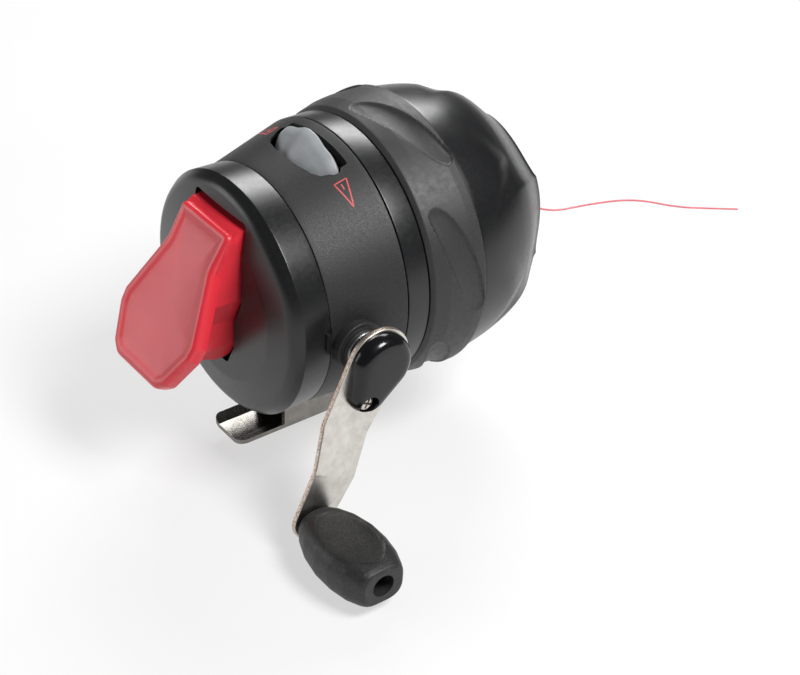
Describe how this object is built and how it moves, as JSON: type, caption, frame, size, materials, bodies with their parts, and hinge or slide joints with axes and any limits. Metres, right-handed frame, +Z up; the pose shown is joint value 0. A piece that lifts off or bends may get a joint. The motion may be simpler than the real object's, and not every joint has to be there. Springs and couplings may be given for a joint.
{
  "type": "spincast fishing reel",
  "caption": "Closed-face spincast fishing reel with a rear thumb button, side crank with one knob, top drag wheel, twist-off ribbed front cover and a flat mounting foot.",
  "frame": {"origin": "centre of the foot's flat seat, the face that lies on the rod", "axes": "+X forward along the rod and the line, +Z up out of the rod, crank on the -Y side"},
  "size_m": [0.2189, 0.1228, 0.0954],
  "materials": {
    "satin_black": "satin black enamel",
    "textured_black": "fine textured black powder coat",
    "grip_rubber": "matte moulded rubber",
    "red_plastic": "glossy red",
    "grey_plastic": "light grey, smooth",
    "nickel_plate": "nickel-plated sheet",
    "gloss_black": "glossy black",
    "knob_plastic": "pebbled black",
    "foot_steel": "satin stainless",
    "steel": "plain machined",
    "brass": "plain machined",
    "aluminium": "plain pressed",
    "spool_plastic": "off-white moulded",
    "line_nylon": "pink-red monofilament",
    "felt": "oiled felt"
  },
  "bodies": {
    "root": {"body_housing": "textured_black", "rear_cover": "satin_black", "pivot_pin": "steel", "reel_foot": "foot_steel", "foot_screws": "steel", "deck_plate": "aluminium", "deck_screws": "steel", "pinion_bushing": "brass", "drag_axle": "steel", "crank_bushing": "steel", "pawl_pin": "steel", "drag_washers": "felt"},
    "thumb": {"thumb_button": "red_plastic"},
    "plunger": {"thrust_cap": "spool_plastic", "return_spring": "steel"},
    "rotor": {"centre_shaft": "steel", "spinner_head": "aluminium", "head_nut": "brass"},
    "pickup": {"pickup_pin": "steel"},
    "pinion_sleeve": {"pinion": "brass"},
    "crank": {"crank_shaft": "steel", "drive_gear": "brass", "ratchet_wheel": "steel", "crank_arm": "nickel_plate", "crank_nut": "steel", "crank_cap": "gloss_black", "cap_screw": "nickel_plate", "knob_rivet": "nickel_plate"},
    "crank_knob": {"knob": "knob_plastic"},
    "dog": {"pawl": "steel"},
    "drag": {"drag_wheel": "grey_plastic"},
    "line_spool": {"spool": "spool_plastic", "wound_line": "line_nylon"},
    "cover_carrier": {"cover_gasket": "grip_rubber", "line": "line_nylon"},
    "cover": {"front_cover": "satin_black", "grip_ring": "grip_rubber", "line_guide": "steel"}
  },
  "joints": [
    {"name": "thumb_press", "type": "hinge", "parent": "root", "child": "thumb", "pos_m": [-0.026, 0, 0.073], "axis": [0, -1, 0], "range_deg": [0, 12], "stiffness_Nm_per_rad": 1, "springref_deg": -5.73},
    {"name": "plunger_slide", "type": "slide", "parent": "root", "child": "plunger", "axis": [1, 0, 0], "range_m": [0, 0.0046], "deforming": ["return_spring"]},
    {"name": "head_slide", "type": "slide", "parent": "pinion_sleeve", "child": "rotor", "axis": [1, 0, 0], "range_m": [0, 0.0046]},
    {"name": "pickup_retract", "type": "slide", "parent": "rotor", "child": "pickup", "axis": [0, 0, -1], "range_m": [0, 0.0027]},
    {"name": "pinion_spin", "type": "hinge", "parent": "root", "child": "pinion_sleeve", "pos_m": [0, 0, 0.0515], "axis": [1, 0, 0], "continuous": true},
    {"name": "crank_turn", "type": "hinge", "parent": "root", "child": "crank", "pos_m": [-0.0107, -0.04, 0.0471], "axis": [0, 1, 0], "continuous": true},
    {"name": "knob_spin", "type": "hinge", "parent": "crank", "child": "crank_knob", "pos_m": [-0.03313, -0.066, 0.0058], "axis": [0, 1, 0], "continuous": true},
    {"name": "pawl_swing", "type": "hinge", "parent": "root", "child": "dog", "pos_m": [-0.0002, -0.009, 0.0356], "axis": [0, -1, 0], "range_deg": [0, 12], "stiffness_Nm_per_rad": 0.002, "springref_deg": -5.73},
    {"name": "drag_turn", "type": "hinge", "parent": "root", "child": "drag", "pos_m": [-0.004, 0, 0.0754], "axis": [1, 0, 0], "range_deg": [-150, 150]},
    {"name": "spool_spin", "type": "hinge", "parent": "root", "child": "line_spool", "pos_m": [0.02, 0, 0.0515], "axis": [1, 0, 0], "continuous": true},
    {"name": "cover_travel", "type": "slide", "parent": "root", "child": "cover_carrier", "axis": [1, 0, 0], "range_m": [0, 0.012]},
    {"name": "cover_twist", "type": "hinge", "parent": "cover_carrier", "child": "cover", "pos_m": [0.03, 0, 0.0515], "axis": [1, 0, 0], "range_deg": [0, 360]}
  ],
  "couplings": [
    {"joint": "plunger_slide", "follows": "thumb_press", "m_per_rad": 0.0215},
    {"joint": "pickup_retract", "follows": "thumb_press", "m_per_rad": 0.0124},
    {"joint": "head_slide", "follows": "thumb_press", "m_per_rad": 0.0215},
    {"joint": "pinion_spin", "follows": "crank_turn", "ratio": 2.6},
    {"joint": "cover_travel", "follows": "cover_twist", "m_per_rad": 0.0019098}
  ]
}
